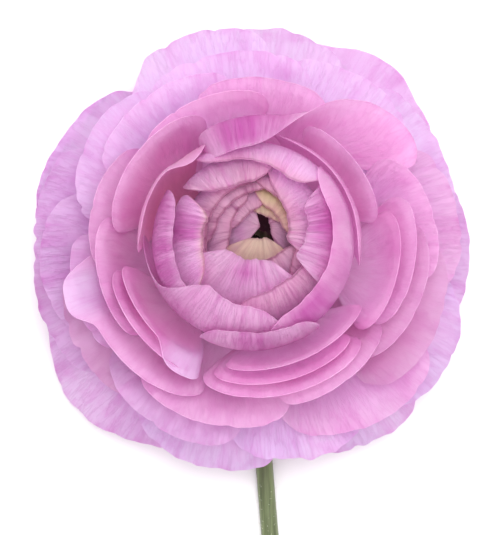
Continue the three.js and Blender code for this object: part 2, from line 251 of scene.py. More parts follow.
LOOKS = {
    "white": Look("pale_lilac", "white_lilac", "white_lilac", 0.5),
    "pale": Look("pink", "pale_lilac", "white_lilac", 0.6),
    "lilac": Look("pink", "lilac", "pale_lilac", 0.7),
    "dusk": Look("rose", "dusk", "lilac", 0.8),
    "blush": Look("rose", "blush", "pale_pink", 0.7),
    "pink": Look("painted_bounce_pink", "pink", "pale_pink", 0.6),
    "rosy": Look("painted_bounce_pink", "rose", "pale_pink", 0.6),
    # The deep look is that paler pink all over: painted light for petals deep in the shade between
    # others
    "deep": Look("painted_bounce_pink", "painted_bounce_pink", "pink", 0.4),
    "tender": Look("painted_bounce_pink", "orchid", "pink", 0.5),
    "bright": Look("rose", "pink", "pale_pink", 0.7, edge=0.2),
    # A petal in painted shadow, for the dark crevice round the ball
    "painted_shadow": Look("shade_painted_pink", "shade_painted_pink", "pink", 0.4, rim_from=0.5),
    "orchid": Look("pink", "orchid", "peach", 0.7, rim_from=0.9, edge=0.6),
    "flushed": Look("painted_bounce_pink", "pink", "pale_pink", 0.8, edge=0.2),
    "edged": Look("painted_bounce_pink", "orchid", "cream", 0.8, rim_from=0.95, edge=0.8),
    "peach": Look("rose", "veiled", "peach", 0.9, edge=0.8),
    "veiled": Look("pink", "orchid", "peach", 1.0, rim_from=0.85, edge=0.8),
    # The heart's petals darken towards their claws: painted shadow in the depths of the heart
    "mauve": Look("painted_depth_shade", "mauve", "peach", 1.0, rim_from=0.8, edge=0.8),
    "cream": Look("painted_depth_shade", "cream", "cream", 0.6, edge=0.5),
    "lime": Look("painted_depth_shade", "lime", "cream", 0.6, rim_from=0.85, edge=0.7),
}

OUTER_PETALS = (
    Petal(0.000, 3.5, 29.5, 0.93, 0.22, skew=0.02, look="dusk"),
    Petal(0.049, 31, 26, 0.94, 0.15, skew=0.06, look="pale"),
    Petal(
        0.000, 58, 27, 1.08, 0.10, droop=5, fold=2.4, fold_at=-0.05, fold_wide=0.36, look="white"
    ),
    Petal(
        0.046, 87.5, 27, 1.05, 0.11, skew=0.06, fold=1.0, fold_at=-0.28, fold_wide=0.2,
        look="white",
    ),
    Petal(
        0.094, 110, 27, 1.06, 0.30, skew=-0.12, fold=-2.4, fold_at=0.62, fold_wide=0.24,
        look="pale",
    ),
    Petal(0.000, 148.5, 31, 1.05, 0.36, skew=0.04, droop=4, look="lilac"),
    Petal(0.045, 171, 24, 0.96, 0.16, skew=-0.06, look="dusk"),
    Petal(0.085, 196, 24, 0.96, 0.14, skew=-0.02, shade=0.84, look="dusk"),
    Petal(
        0.000, 227.5, 32.5, 0.99, 0.23, skew=-0.12, fold=1.2, fold_at=-0.2, fold_wide=0.3,
        look="dusk",
    ),
    Petal(0.050, 259.5, 30.5, 0.93, 0.25, skew=-0.02, look="lilac"),
    Petal(
        0.094, 284, 24, 0.89, 0.13, skew=0.06, fold=1.0, fold_at=0.25, fold_wide=0.25,
        look="lilac",
    ),
    Petal(
        0.000, 304, 25, 0.94, 0.22, skew=0.03, fold=1.0, fold_at=0.35, fold_wide=0.3,
        look="lilac",
    ),
    Petal(0.054, 331, 27, 1.00, 0.35, skew=-0.02, look="lilac"),
)
SPREAD_PETALS = (
    Petal(0.120, 10, 26, 0.90, 0.18, shade=0.88, look="blush"),
    Petal(0.155, 62, 28, 0.91, 0.18, skew=-0.06, shade=0.95, look="pale"),
    Petal(0.195, 98, 30, 0.92, 0.14, shade=0.95, look="pale"),
    Petal(0.274, 124, 30, 0.92, 0.15, shade=0.97, look="pale"),
    Petal(0.215, 147, 28, 0.94, 0.25, skew=-0.12, shade=0.88, look="lilac"),
    Petal(0.135, 184, 26.5, 0.94, 0.30, shade=0.9, look="dusk"),
    Petal(0.176, 212, 28.5, 0.90, 0.15, shade=0.6, look="rosy"),
    Petal(0.216, 239.5, 28.5, 1.00, 0.25, skew=0.12, shade=0.75, look="dusk"),
    Petal(0.284, 255, 30, 0.94, 0.17, shade=0.88, look="pink"),
    Petal(0.149, 303, 30, 0.95, 0.25, skew=0.20, shade=0.92, look="blush"),
    Petal(0.211, 337, 30, 0.98, 0.25, skew=-0.02, shade=0.67, look="rosy"),
    Petal(
        0.290, 12, 26, 0.96, 0.25, skew=-0.08, twist=0.03, flush=0.3, flush_at=-0.5,
        look="blush",
    ),
)
CUPPED_PETALS = (
    Petal(0.286, 196, 22, 0.94, 0.12, skew=0.02, shade=0.8, look="dusk"),
    Petal(
        0.345, 218, 38, 0.98, 0.25, skew=-0.06, fold=4.5, fold_at=-0.58, fold_wide=0.24,
        shade=0.9, look="pink",
    ),
    Petal(0.321, 340, 30.5, 0.93, 0.24, skew=0.09, shade=0.8, look="rosy"),
    Petal(0.365, 86, 27, 0.91, 0.12, look="bright"),
    Petal(0.375, 306.5, 26.5, 0.91, 0.13, skew=-0.12, shade=0.86, look="rosy"),
    Petal(0.401, 352, 28, 1.00, 0.24, skew=0.09, flush=0.3, flush_at=-0.4, look="pink"),
    Petal(0.382, 163.5, 28.5, 0.90, 0.22, skew=0.03, shade=0.76, look="rosy"),
    Petal(0.428, 283, 38.5, 0.92, 0.22, skew=0.05, look="rosy"),
    Petal(0.426, 193, 27, 0.96, 0.19, skew=0.04, flush=0.4, flush_at=0.5, look="pink"),
    Petal(0.436, 112, 30, 0.90, 0.15, skew=-0.05, painted_glow=0.02, look="tender"),
    Petal(0.465, 348, 30, 0.97, 0.32, painted_glow=0.05, look="tender"),
    Petal(0.473, 218, 29.5, 0.95, 0.18, skew=0.01, look="rosy"),
    Petal(0.487, 285, 35, 0.90, 0.20, painted_glow=0.03, look="tender"),
    Petal(0.480, 142, 36, 0.94, 0.26, skew=0.02, flush=0.25, flush_at=-0.3, look="rosy"),
    Petal(0.528, 219, 31, 0.92, 0.16, fold=3.5, fold_at=0.75, fold_wide=0.4, look="deep"),
    Petal(0.545, 37, 30, 0.92, 0.18, skew=0.06, flush=0.3, look="rosy"),
    Petal(0.548, 294, 40, 0.90, 0.20, painted_glow=0.03, look="tender"),
    Petal(
        0.285, 73, 46, 1.00, 0.00, skew=-0.03, twist=0.04, lobe=0.245, lobe_at=-0.27,
        fold=-7.6, fold_at=0.62, fold_wide=0.72, flush=0.9, flush_at=0.46,
        flush_wide=0.5, look="bright",
    ),
)
FOLDED_PETALS = (
    # In painted shadow, for the crevice between this petal and the ball
    Petal(
        0.583, 150, 36, 0.86, 0.04, lobe=0.018, lobe_at=-0.39, lobe_rise=-0.08, look="painted_shadow"
    ),
    Petal(0.597, 33, 49, 0.79, 0.04, shade=0.97, painted_glow=0.02, look="deep"),
    Petal(
        0.630, 228, 62, 0.62, 0.02, skew=-0.04, twist=0.035, step=0.26, step_at=-0.26,
        flush=0.55, flush_at=-0.1, flush_wide=0.7, flush_from=0.3, look="flushed",
    ),
    Petal(0.601, 275, 35, 0.86, 0.04, flush=0.7, flush_wide=0.6, look="flushed"),
    Petal(
        0.636, 343.5, 67.5, 0.81, 0.02, flush=0.9, flush_at=-0.48, flush_wide=0.35,
        look="tender",
    ),
    Petal(
        0.658, 193.5, 47, 0.80, 0.02, skew=-0.01, flush=0.8, flush_at=-0.2, flush_wide=1.3,
        look="flushed",
    ),
    Petal(0.655, 83.5, 45, 0.83, 0.03, skew=-0.05, look="orchid"),
    Petal(
        0.692, 2, 36.5, 0.90, -0.03, skew=-0.03, flush=0.8, flush_at=0.1, flush_wide=0.8,
        look="flushed",
    ),
    Petal(
        0.762, 186, 40, 0.89, 0.03, skew=-0.03, flush=0.8, flush_at=-0.3, flush_wide=0.5,
        painted_glow=0.12, look="edged",
    ),
    Petal(0.751, 300, 49.5, 0.87, 0.06, skew=0.01, look="peach"),
    Petal(0.738, 107.5, 38, 0.89, 0.10, skew=-0.01, painted_glow=0.02, look="peach"),
    Petal(
        0.800, 256, 60, 0.97, 0.02, flush=0.95, flush_at=0.05, flush_wide=0.5,
        flush_from=0.78, painted_glow=0.03, look="bright",
    ),
    Petal(0.801, 28, 54, 0.93, 0.04, skew=-0.05, painted_glow=0.08, look="veiled"),
)
HEART_PETALS = (
    Petal(0.826, 148, 75, 0.855, 0.05, look="mauve"),
    Petal(0.843, 20, 80, 0.890, 0.05, look="mauve"),
    Petal(0.858, 133, 66, 0.885, 0.03, look="mauve"),
    Petal(0.872, 290, 60, 0.925, 0.03, look="mauve"),
    Petal(0.886, 158, 62, 0.930, 0.04, look="mauve"),
    Petal(0.900, 40, 60, 0.955, 0.05, look="lime"),
    Petal(0.914, 130, 60, 0.965, 0.05, painted_glow=0.04, look="mauve"),
    Petal(0.930, 264, 62, 1.005, 0.05, skew=0.01, look="cream"),
    Petal(0.946, 66, 60, 0.990, 0.05, look="lime"),
    Petal(0.962, 166, 66, 1.050, 0.05, painted_glow=0.06, look="mauve"),
    Petal(0.978, 10, 64, 1.010, 0.05, painted_glow=0.05, look="mauve"),
)


class Ring(NamedTuple):
    """One ring of petals: its grid, and how its rims ripple, tear, crinkle and curl, in mm.

    nicks is how many small notches each rim gets, and tinted is where along its length a petal
    has its full colour.
    """

    petals: tuple
    columns: int
    rows: int
    ripple: float
    ragged: float
    crinkle: float
    curl: float
    nicks: int
    tinted: float


RINGS = {
    "outer": Ring(OUTER_PETALS, 72, 32, 0.8, 0.80, 0.22, 0.2, 3, 0.65),
    "spread": Ring(SPREAD_PETALS, 64, 32, 0.5, 0.60, 0.16, 0.5, 2, 0.65),
    "cupped": Ring(CUPPED_PETALS, 56, 34, 0.25, 0.40, 0.12, 0.8, 1, 0.65),
    "folded": Ring(FOLDED_PETALS, 48, 36, 0.0, 0.30, 0.06, 0.1, 0, 0.65),
    "heart": Ring(HEART_PETALS, 32, 30, 0.0, 0.25, 0.08, 0.0, 0, 0.9),
}


def srgb(red, green, blue):
    """A linear colour from 8-bit values."""
    shares = [value / 255 for value in (red, green, blue)]
    return tuple(s / 12.92 if s <= 0.04045 else ((s + 0.055) / 1.055) ** 2.4 for s in shares)


def opaque(rgb):
    """A linear colour with full alpha, from 8-bit values."""
    return (*srgb(*rgb), 1)


def colour_property(name, description, rgb):
    return FloatVectorProperty(
        name=name, description=description, default=srgb(*rgb), subtype="COLOR", min=0, max=1
    )


class PetalColours(PropertyGroup):
    """The colours that the petals are tinted with, from their claws to their rims."""

    white_lilac: colour_property("White lilac", "Palest rims", (236, 232, 252))
    pale_lilac: colour_property("Pale lilac", "Outer petals in the light", (226, 222, 248))
    lilac: colour_property("Lilac", "Outer petals", (224, 210, 240))
    dusk: colour_property("Dusk", "Outer petals with more colour", (208, 180, 222))
    pale_pink: colour_property("Pale pink", "Rims of the cupped petals", (242, 216, 240))
    blush: colour_property("Blush", "Petals that spread", (224, 186, 224))
    pink: colour_property("Pink", "Petals that cup", (238, 192, 226))
    rose: colour_property("Rose", "Cupped petals with more colour", (236, 176, 214))
    # Painted light: paler than the claws' own deep rose, to lift the claws and the petals that
    # stand in shadow
    painted_bounce_pink: colour_property("Bright pink", "Claws of petals in shadow", (254, 216, 246))
    magenta: colour_property("Magenta", "Flushes on the petals of the ball", (184, 36, 158))
    orchid: colour_property("Orchid", "Tender petals at the top", (252, 222, 252))
    # Painted shadow: a darker, duller pink for the petal in the crevice between the ball and the
    # cupped petals
    shade_painted_pink: colour_property("Dusty pink", "Petals in shadow round the ball", (222, 160, 168))
    peach: colour_property("Peach", "Faded petals near the eye", (240, 202, 218))
    veiled: colour_property("Veiled lilac", "Greyed petals near the eye", (230, 204, 234))
    mauve: colour_property("Mauve", "Veined petals of the heart", (242, 208, 242))
    # Painted shadow: the heart's petals darken to this at their claws, for the shade in the depths
    # of the heart
    painted_depth_shade: colour_property("Umber", "Depths of the heart", (84, 48, 62))
    cream: colour_property("Cream", "Pale petal under the eye", (250, 240, 204))
    lime: colour_property("Lime", "Greenish petals round the eye", (228, 236, 164))


class PetalSizes(PropertyGroup):
    """Sizes that all petals share."""

    thickness: FloatProperty(
        name="Thickness", description="Blade of a petal at its middle", default=0.28 * MM,
        min=0.05 * MM, max=0.6 * MM, unit="LENGTH", precision=5,
    )
    rim_share: FloatProperty(
        name="Rim thickness", description="Thickness at the rim, as a share of the middle's",
        default=0.45, min=0.1, max=1.0, subtype="FACTOR",
    )
    glow: FloatProperty(
        name="Glow", description="Share of the light that passes through a petal",
        default=0.62, min=0.0, max=1.0, subtype="FACTOR",
    )


class GreenSizes(PropertyGroup):
    """Stem, calyx and carpels."""

    stem_radius: FloatProperty(
        name="Stem radius", description="Half the stem's thickness", default=1.9 * MM,
        min=1 * MM, max=3 * MM, unit="LENGTH", precision=5,
    )
    hairs: IntProperty(
        name="Hairs", description="Fine hairs on the stem", default=260, min=1, max=2000
    )
    hair_colour: colour_property("Hairs", "Hairs on the stem", (214, 216, 196))
    stem_colour: colour_property("Stem", "Skin of the stem", (84, 96, 54))
    sepal_colour: colour_property("Sepals", "Sepals under the bloom", (126, 134, 82))
    carpel_colour: colour_property("Carpels", "Carpels in the heart", (34, 26, 20))


class StageSizes(PropertyGroup):
    """Floor, light and camera."""

    camera_height: FloatProperty(
        name="Camera height", description="Camera above the surface", default=0.8,
        min=0.3, max=3.0, unit="LENGTH",
    )
    floor_colour: colour_property("Floor", "The floor", (250, 250, 250))
    key_power: FloatProperty(
        name="Key light", description="Power of the large soft light", default=12.0,
        min=0, max=100, unit="POWER",
    )
    fill: FloatProperty(
        name="Fill", description="Brightness of the white surroundings", default=1.1, min=0, max=5
    )


def smooth(x):
    x = np.clip(x, 0, 1)
    return x * x * (3 - 2 * x)


def head_foot():
    """The foot of the head's axis, from the CAD cone of carpels that stands on it, in mm."""
    low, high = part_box("carpels")
    lowest = CARPEL_FOOT * math.sin(LEAN) - CARPEL_RADIUS * math.cos(LEAN)
    return ((low.x + high.x) / 2 / MM, low.y / MM - lowest)


FOOT = head_foot()


def from_head(x, y, z):
    """From the head's own frame, axis along Z, in mm, to the flower's frame, in metres."""
    cos, sin = math.cos(LEAN), math.sin(LEAN)
    return np.stack(
        [FOOT[0] + x, FOOT[1] + y * cos + z * sin, HEAD_HEIGHT + z * cos - y * sin], axis=-1
    ) * MM


def cubic(v, points):
    """A cubic curve's value at a share of its length, from its four control values."""
    w = 1 - v
    weights = (w**3, 3 * w * w * v, 3 * w * v * v, v**3)
    return sum(weight * point for weight, point in zip(weights, points))


def shell(layer, v):
    """Radius and height of the shells at a layer, at a share of their length."""
    layer = np.clip(layer, 0, 1)
    found = []
    for axis in (0, 1):
        controls = ([profile[i][axis] for profile in SHELL_POINTS] for i in range(4))
        found.append(cubic(v, [np.interp(layer, SHELL_LAYERS, each) for each in controls]))
    return found


def waver(u, rng, frequencies):
    """A smooth random line across a petal, about 1 high."""
    return sum(
        math.sqrt(frequencies[0] / f) * np.sin(f * u + rng.uniform(0, math.tau))
        for f in frequencies
    )


def nicks(u, rng, count):
    """How deep a petal's rim is nicked across it, in mm."""
    found = 0 * u
    for _ in range(count):
        across, deep, wide = rng.uniform(-0.8, 0.8), rng.uniform(0.4, 1.6), rng.uniform(0.6, 1.6)
        found = found + deep * np.exp(-np.abs((u - across) / (NICK_WIDTH * wide)) ** NICK_POWER)
    return found


def folded(petal, u):
    """How far a petal's rim is turned outwards across it, 0 to 1."""
    return np.exp(-(((u - petal.fold_at) / petal.fold_wide) ** 4)) if petal.fold else 0 * u


def petal_surface(petal, ring, index, u, q):
    """Points of a petal's middle surface, in metres. u: -1 to 1 across, q: claw 0 to rim 1."""
    rng = np.random.default_rng(int(petal.layer * 1000) * 100 + index)
    torn = ring.ragged / SHELL_LENGTH * waver(u, rng, TEAR_WAVES) * TEAR_SHARE
    torn = torn - nicks(u, rng, ring.nicks) / SHELL_LENGTH
    side = np.abs(u)
    rim = petal.length * (1 - petal.drop * side**SIDE_POWER - CORNER * side**CORNER_POWER)
    rim = rim + petal.step / (1 + np.exp((petal.step_at - u) / STEP_WIDTH))
    v = q * (rim + petal.skew * u + torn)
    width = CLAW_WIDTH + (1 - CLAW_WIDTH) * smooth(v / FULL_WIDTH_AT)
    angle = np.radians(petal.turn + petal.half * u * width)
    lean = petal.twist * u + petal.lobe / (1 + np.exp((petal.lobe_at - u) / petal.lobe_rise))
    own = petal.layer + lean * smooth(v / TWIST_FULL_AT)
    radius, height = shell(own, v)
    curl = ring.curl * smooth((q - CURL_START) / (1 - CURL_START)) ** 2
    curl = curl + petal.fold * folded(petal, u) * smooth((q - FOLD_START) / (1 - FOLD_START)) ** 2
    radius, height = radius + curl, height - CURL_FALL * curl
    ripple = ring.ripple * q**3 * np.sin(RIPPLE_WAVES * math.pi * u + GOLDEN_TURN * index)
    crinkle = ring.crinkle * q**4 * waver(u, rng, CRINKLE_WAVES)
    sag = petal.droop * smooth((v - DROOP_START) / DROOP_REACH)
    shift = smooth((own - EYE_START) / (1 - EYE_START)) * np.minimum(v, 1)
    return from_head(
        radius * np.cos(angle) + EYE_OFFSET[0] * shift,
        radius * np.sin(angle) + EYE_OFFSET[1] * shift,
        height + ripple + crinkle - sag,
    )


def rest_on_floor(points, clearance, softness=0.25 * MM):
    """Presses what would reach below the floor gently onto it."""
    z = (points[:, 2] - clearance) / softness
    points[:, 2] = clearance + softness * np.logaddexp(0, np.clip(z, -50, 500))
    return points


def deselect():
    for thing in bpy.context.selected_objects:
        thing.select_set(False)
    bpy.context.view_layer.objects.active = None


def pick(piece):
    deselect()
    piece.select_set(True)
    bpy.context.view_layer.objects.active = piece


def mesh_points(piece):
    points = np.empty(len(piece.data.vertices) * 3)
    piece.data.vertices.foreach_get("co", points)
    return points.reshape(-1, 3)


def set_points(piece, points):
    piece.data.vertices.foreach_set("co", points.ravel())
    piece.data.update()


def finish_with(piece, kind, **settings):
    """Adds a modifier with these settings and applies it."""
    pick(piece)
    modifier = piece.modifiers.new(kind.title(), kind)
    for name, value in settings.items():
        setattr(modifier, name, value)
    bpy.ops.object.modifier_apply(modifier=modifier.name)


def joined(pieces, name):
    pick(pieces[0])
    for piece in pieces:
        piece.select_set(True)
    if len(pieces) > 1:
        bpy.ops.object.join()
    whole = bpy.context.object
    whole.name = whole.data.name = name
    return whole


def copied(piece):
    """A copy of a piece with a mesh of its own."""
    twin = piece.copy()
    twin.data = piece.data.copy()
    bpy.context.collection.objects.link(twin)
    return twin


def place(piece, nodes, material):
    """Gives a finished piece its material, its body and the CAD nodes that it stands for."""
    piece.data.materials.clear()
    piece.data.materials.append(material)
    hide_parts(*nodes)
    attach(piece, "root")


def grid_piece(name, columns, rows):
    """A flat grid from -1 to 1 both ways, and the two coordinates of its points."""
    deselect()
    bpy.ops.mesh.primitive_grid_add(x_subdivisions=columns, y_subdivisions=rows, size=2)
    piece = bpy.context.object
    piece.name = piece.data.name = name
    points = mesh_points(piece)
    return piece, points[:, 0].copy(), (points[:, 1] + 1) / 2


def thicken(piece, thickness, rim_share, q):
    """Makes a grid a closed blade that thins out to its rim, shaded smooth."""
    weights = 1 - (1 - rim_share) * smooth((q - THIN_FROM) / THIN_OVER)
    group = piece.vertex_groups.new(name="blade")
    for i, weight in enumerate(weights):
        group.add([i], float(weight), "REPLACE")
    finish_with(
        piece, "SOLIDIFY", thickness=thickness, offset=0, vertex_group="blade",
        thickness_vertex_group=0, use_even_offset=True,
    )
    piece.vertex_groups.clear()
    pick(piece)
    bpy.ops.object.shade_smooth_by_angle(angle=SHARP_ANGLE)


def add_attribute(piece, name, kind, values):
    attribute = piece.data.attributes.new(name, kind, "POINT")
    key = "color" if kind == "FLOAT_COLOR" else "value"
    attribute.data.foreach_set(key, np.ascontiguousarray(values, dtype=np.float32).ravel())


def tint_petal(piece, petal, ring, index, u, q):
    """Stores a petal's colour, veining and own seed on its points."""
    colours = bpy.context.scene.ranunculus_colours
    look = LOOKS[petal.look]
    deep, body, rim = (np.array(getattr(colours, name)) for name in look[:3])
    up = smooth((q - ring.tinted) / TINT_RISE + 1)[:, None]
    out = (smooth((q - look.rim_from) / (1 - look.rim_from)) ** RIM_POWER)[:, None]
    tint = deep + (body - deep) * up
    tint = tint + (rim - tint) * out * RIM_SHARE
    turned = folded(petal, u) * (petal.fold > 0) * smooth((q - PALE_FROM) / PALE_RISE)
    tint = tint + (np.array(colours.white_lilac) - tint) * turned[:, None] * PALE_SHARE
    tint = np.hstack([tint * petal.shade, np.ones((len(tint), 1))])
    add_attribute(piece, "tint", "FLOAT_COLOR", tint)
    add_attribute(piece, "veins", "FLOAT", np.full(len(u), look.veins))
    # How dark the rim's thin line of painted shade is
    add_attribute(piece, "edge", "FLOAT", np.full(len(u), look.edge))
    patch = petal.flush * np.exp(-(((u - petal.flush_at) / petal.flush_wide) ** 2))
    fade = 1 - 0.5 * smooth((q - FLUSH_FADE_FROM) / FLUSH_FADE_OVER)
    patch = patch * smooth((q - petal.flush_from) / FLUSH_RISE) * fade
    add_attribute(piece, "flush", "FLOAT", patch)
    # Painted glow: emitted light, strongest at the claw, for light scattered deep into the bloom
    painted_glow = (1 - q * q) * CLAW_GLOW_PAINT + petal.painted_glow * up[:, 0]
    add_attribute(piece, "painted_glow", "FLOAT", painted_glow / GLOW_PAINT_STRENGTH)
    seed = index * SEED_STEP + petal.layer * SEED_LAYER
    add_attribute(piece, "seed", "FLOAT", np.full(len(u), seed))


def petal_blade(name, petal, ring, index):
    """One petal, from its grid to its closed blade."""
    sizes = bpy.context.scene.ranunculus_petals
    piece, u, q = grid_piece(name, ring.columns, ring.rows)
    points = petal_surface(petal, ring, index, u, q)
    set_points(piece, rest_on_floor(points, sizes.thickness / 2))
    tint_petal(piece, petal, ring, index, u, q)
    thicken(piece, sizes.thickness, sizes.rim_share, q)
    return piece


class Value:
    """The output of a node, on which arithmetic adds Math nodes."""

    def __init__(self, finish, socket):
        self.finish = finish
        self.socket = socket

    def math(self, operation, *values):
        return self.finish.node("ShaderNodeMath", {"operation": operation}, dict(enumerate(values)))

    def __add__(self, other):
        return self.math("ADD", self, other)

    def __sub__(self, other):
        return self.math("SUBTRACT", self, other)

    def __rsub__(self, other):
        return self.math("SUBTRACT", other, self)

    def __mul__(self, other):
        return self.math("MULTIPLY", self, other)

    def __abs__(self):
        return self.math("ABSOLUTE", self)

    __radd__ = __add__
    __rmul__ = __mul__

    def rise(self, low, high):
        """0 below low, 1 above high, smooth between them."""
        return self.finish.node(
            "ShaderNodeMapRange",
            {"interpolation_type": "SMOOTHSTEP"},
            {"Value": self, "From Min": low, "From Max": high},
        )


class Finish:
    """A material that is put together node by node."""

    def __init__(self, name):
        self.material = bpy.data.materials.new(name)
        self.material.use_nodes = True
        self.tree = self.material.node_tree
        self.tree.nodes.clear()

    def node(self, kind, settings=None, inputs=None, output=0):
        made = self.tree.nodes.new(kind)
        for name, value in (settings or {}).items():
            setattr(made, name, value)
        for name, value in (inputs or {}).items():
            if isinstance(value, Value):
                self.tree.links.new(value.socket, made.inputs[name])
            else:
                made.inputs[name].default_value = value
        return None if output is None else Value(self, made.outputs[output])

    def attribute(self, name, output):
        return self.node("ShaderNodeAttribute", {"attribute_name": name}, output=output)

    def mixed(self, a, b, share, blend="MIX"):
        settings = {"data_type": "RGBA", "blend_type": blend}
        return self.node("ShaderNodeMix", settings, {0: share, 6: a, 7: b}, output=2)

    def noise(self, vector, scale, detail=2.0, roughness=0.5, distortion=0.0):
        values = {"Vector": vector, "Scale": scale, "Detail": detail}
        return self.node(
            "ShaderNodeTexNoise", None, {**values, "Roughness": roughness, "Distortion": distortion}
        )

    def split(self, vector):
        """The first two numbers of a vector."""
        across = self.node("ShaderNodeSeparateXYZ", None, {0: vector})
        return across, Value(self, across.socket.node.outputs[1])

    def stretched(self, x, y, z):
        return self.node("ShaderNodeCombineXYZ", None, {"X": x, "Y": y, "Z": z})

    def surface(self, colour, roughness, height, bump, glow=0.0, glow_colour=None, **constants):
        """Ends the material with a Principled shader, and light that passes through it."""
        settings = {"Height": height, "Distance": bump, "Strength": 1.0}
        normal = self.node("ShaderNodeBump", None, settings)
        values = {"Base Color": colour, "Roughness": roughness, "Normal": normal}
        skin = self.node("ShaderNodeBsdfPrincipled", None, {**values, **constants})
        if glow:
            through = self.node("ShaderNodeBsdfTranslucent", None, {"Color": glow_colour})
            skin = self.node("ShaderNodeMixShader", None, {0: glow, 1: skin, 2: through})
        self.node("ShaderNodeOutputMaterial", None, {"Surface": skin}, output=None)
        return self.material


def petal_finish(name, vein_colour, glow_colour, relief, solid_to=0.0):
    """Thin satin tissue with veins that fan out from the claw, and soft blotches.

    Its full light passes through from the share solid_to of its length on, and none near the
    claw where solid_to is above SOLID_FADE.
    """
    finish = Finish(name)
    across, along = finish.split(finish.node("ShaderNodeUVMap", {"uv_map": "UVMap"}))
    tint = finish.attribute("tint", "Color")
    veined = finish.attribute("veins", "Fac")
    edged = finish.attribute("edge", "Fac")
    flushed = finish.attribute("flush", "Fac")
    seed = finish.attribute("seed", "Fac")
    spot = finish.node("ShaderNodeTexCoord", output="Object")
    magenta = (*bpy.context.scene.ranunculus_colours.magenta, 1)

    def drawn(grain, own_seed, *detail):
        """Noise that is drawn out along the petal."""
        vector = finish.stretched(across * grain[0], along * grain[1], own_seed)
        return finish.noise(vector, 1.0, *detail)

    fine = drawn(VEIN_GRAIN, seed, 3, 0.6, 0.4)
    line = 1 - abs(fine - 0.5).rise(0.0, VEIN_WIDTH)
    broad = drawn(STREAK_GRAIN, seed + 7, 3, 0.6)
    streak = broad.rise(0.42, 0.72)
    crease = drawn(CREASE_GRAIN, seed + 3, 2, 0.5, 0.6)
    blotch = finish.noise(spot, BLOTCH_SCALE, 4, 0.62)
    reach = along.rise(0.1, 0.5)

    margin = along.rise(0.955, 1.0) * streak
    vein = veined * reach * (line * 0.35 + streak * 0.5 + margin * 0.4)
    warm = finish.mixed(tint, magenta, flushed * (0.8 + broad.rise(0.35, 0.65) * 0.2))
    colour = finish.mixed(warm, opaque(vein_colour), vein, "MULTIPLY")
    pale = blotch.rise(0.5, 0.72) * (0.35 - flushed * 0.3)
    paler = finish.mixed(colour, opaque(PALE_PATCH), pale)
    dark = (1 - blotch.rise(0.3, 0.52)) * 0.55
    darker = finish.mixed(paler, opaque(DARK_PATCH), dark, "MULTIPLY")
    # A thin dark line along the rim: painted shade for the shadowed gap under it
    painted_rim_shade = along.rise(0.982, 0.998) * edged
    toned = finish.mixed(darker, opaque(RIM_SHADE_PAINT), painted_rim_shade, "MULTIPLY")
    height = line * veined * 0.25 + streak * 0.35 + crease * 2.2 + blotch * 0.5
    # A painted glow: the petal emits its warm colour as far as its stored glow reaches, for light
    # scattered between the petals
    painted_emission = finish.mixed((0, 0, 0, 1), warm, finish.attribute("painted_glow", "Fac"))
    sheer = bpy.context.scene.ranunculus_petals.glow * (1 - flushed * FLUSHED_SHEER)
    return finish.surface(
        toned, 0.52 + blotch * 0.16, height, relief,
        glow=sheer * along.rise(solid_to - SOLID_FADE, solid_to),
        glow_colour=opaque(glow_colour),
        **{
            "Sheen Weight": 0.06, "Specular IOR Level": 0.2,
            "Emission Color": painted_emission, "Emission Strength": GLOW_PAINT_STRENGTH,
        },
    )


def green_finish(name, colour, stretch):
    """Skin of a stem or sepal: fine streaks along it, lighter spots, a little gloss."""
    finish = Finish(name)
    spot = finish.node("ShaderNodeTexCoord", output="Object")
    drawn = finish.node("ShaderNodeMapping", None, {"Vector": spot, "Scale": stretch})
    streak = finish.noise(drawn, 1.0, 4, 0.6)
    cloud = finish.noise(spot, 60, 3, 0.6)
    dark = tuple(c * DARK_STREAK for c in colour)
    light = tuple(min(1, c * LIGHT_STREAK + 0.03) for c in colour)
    base = finish.mixed((*dark, 1), (*light, 1), streak.rise(0.3, 0.7))
    toned = finish.mixed(base, (*light, 1), cloud.rise(0.5, 0.8) * 0.35)
    return finish.surface(
        toned, 0.5 + cloud * 0.2, streak * 0.6 + cloud * 0.4, 0.1 * MM, **{"Sheen Weight": 0.2}
    )


def hair_finish(colour):
    finish = Finish("stem_hair")
    spot = finish.node("ShaderNodeTexCoord", output="Object")
    grain = finish.noise(spot, 700, 2)
    base = finish.mixed((*colour, 1), (*(c * 0.7 for c in colour), 1), grain.rise(0.4, 0.7))
    return finish.surface(base, 0.45 + grain * 0.2, grain, 0.01 * MM)


def carpel_finish(name, colour):
    finish = Finish(name)
    spot = finish.node("ShaderNodeTexCoord", output="Object")
    grain = finish.noise(spot, 900, 3, 0.6)
    base = finish.mixed((*colour, 1), (*(min(1, c * 3) for c in colour), 1), grain.rise(0.5, 0.8))
    return finish.surface(base, 0.6 + grain * 0.2, grain, 0.1 * MM)


def build_ring(key, slot):
    ring = RINGS[key]
    material = petal_finish(slot, OUTER_VEINS, OUTER_GLOW, PETAL_RELIEF * MM)
    for index, petal in enumerate(ring.petals):
        node = f"{key}_petal_{index + 1:02d}"
        place(petal_blade(f"{node}_blade", petal, ring, index), [node], material)


class RANUNCULUS_OT_outer_petals(Operator):
    """Add the outermost petals, spread flat and bent back"""

    bl_idname = "ranunculus.outer_petals"
    bl_label = "Outer Petals"

    def execute(self, context):
        build_ring("outer", "petal_outer")
        return {"FINISHED"}


class RANUNCULUS_OT_spread_petals(Operator):
    """Add the petals that start to rise"""

    bl_idname = "ranunculus.spread_petals"
    bl_label = "Spread Petals"

    def execute(self, context):
        build_ring("spread", "petal_middle")
        return {"FINISHED"}


class RANUNCULUS_OT_cupped_petals(Operator):
    """Add the petals that stand round the ball as a cup"""

    bl_idname = "ranunculus.cupped_petals"
    bl_label = "Cupped Petals"

    def execute(self, context):
        build_ring("cupped", "petal_middle")
        return {"FINISHED"}


